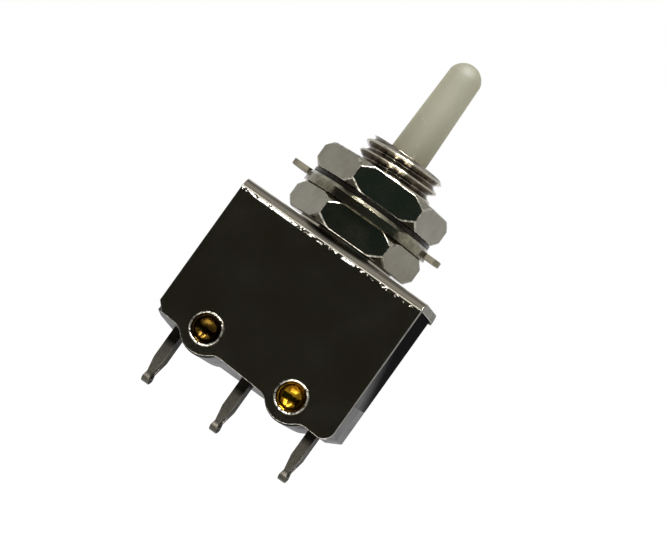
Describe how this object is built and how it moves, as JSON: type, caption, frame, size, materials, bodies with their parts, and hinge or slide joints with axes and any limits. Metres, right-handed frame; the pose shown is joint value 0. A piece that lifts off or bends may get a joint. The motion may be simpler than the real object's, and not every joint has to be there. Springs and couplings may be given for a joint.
{
  "type": "pushbutton switch",
  "caption": "Panel-mount momentary pushbutton switch: threaded bushing with hex nuts, bare ivory plunger, folded metal frame round a black case, solder lugs.",
  "frame": {"origin": "on the bushing's axis, at the top face of the frame, from which the threaded bushing rises", "axes": "+Z along the bushing and plunger, out of the panel; X across the width, along the row of terminals, +X the normally open side; -Y faces the front plate, where the rivets are rolled"},
  "size_m": [0.0154, 0.0104, 0.0319],
  "materials": {
    "nickel_plate_frame": "polished nickel plate, a little tarnished",
    "nickel_plate_bushing": "nickel-plated brass, dull in the thread",
    "nickel_plate_nut": "nickel-plated brass, bright flats",
    "nickel_plate_ring": "nickel-plated steel, tarnished",
    "steel_washer": "dark plated steel",
    "ivory_nylon": "satin ivory nylon",
    "spring_steel": "bright spring wire",
    "black_phenolic": "glossy black moulding",
    "nickel_rivet": "nickel-plated brass, gold-coloured in the hollow end",
    "silvered_brass": "silver-plated brass, tarnished",
    "contact_silver": "silver contact metal",
    "phosphor_bronze": "phosphor bronze strip",
    "seat_steel": "plain steel",
    "nylon_pusher": "natural nylon"
  },
  "bodies": {
    "switch_body": {"frame": "nickel_plate_frame", "bushing": "nickel_plate_bushing", "lower_nut": "nickel_plate_nut", "upper_nut": "nickel_plate_nut", "locking_ring": "nickel_plate_ring", "lock_washer": "steel_washer", "return_spring": "spring_steel", "housing": "black_phenolic", "base": "black_phenolic", "rivets": "nickel_rivet", "terminal_nc": "silvered_brass", "terminal_common": "silvered_brass", "terminal_no": "silvered_brass", "fixed_contact_nc": "contact_silver", "fixed_contact_no": "contact_silver", "overtravel_spring": "spring_steel", "bias_spring": "spring_steel"},
    "plunger": {"plunger": "ivory_nylon", "spring_seat": "seat_steel"},
    "pusher": {"pusher": "nylon_pusher"},
    "rocker": {"rocker": "phosphor_bronze", "moving_contacts": "contact_silver"}
  },
  "joints": [
    {"name": "plunger_slide", "type": "slide", "parent": "switch_body", "child": "plunger", "axis": [0, 0, 1], "range_m": [-0.0022, 0], "stiffness_N_per_m": 900, "springref_m": 0.0012, "deforming": ["return_spring", "overtravel_spring"]},
    {"name": "pusher_slide", "type": "slide", "parent": "switch_body", "child": "pusher", "axis": [0, 0, 1], "range_m": [-0.0004, 0]},
    {"name": "rocker_tilt", "type": "hinge", "parent": "switch_body", "child": "rocker", "pos_m": [0, 0, -0.00756], "axis": [0, 1, 0], "range_deg": [0, 10], "deforming": ["bias_spring"]}
  ],
  "couplings": [
    {"joint": "pusher_slide", "follows": "plunger_slide", "ratio": 0.18},
    {"joint": "rocker_tilt", "follows": "plunger_slide", "rad_per_m": -79.3}
  ]
}
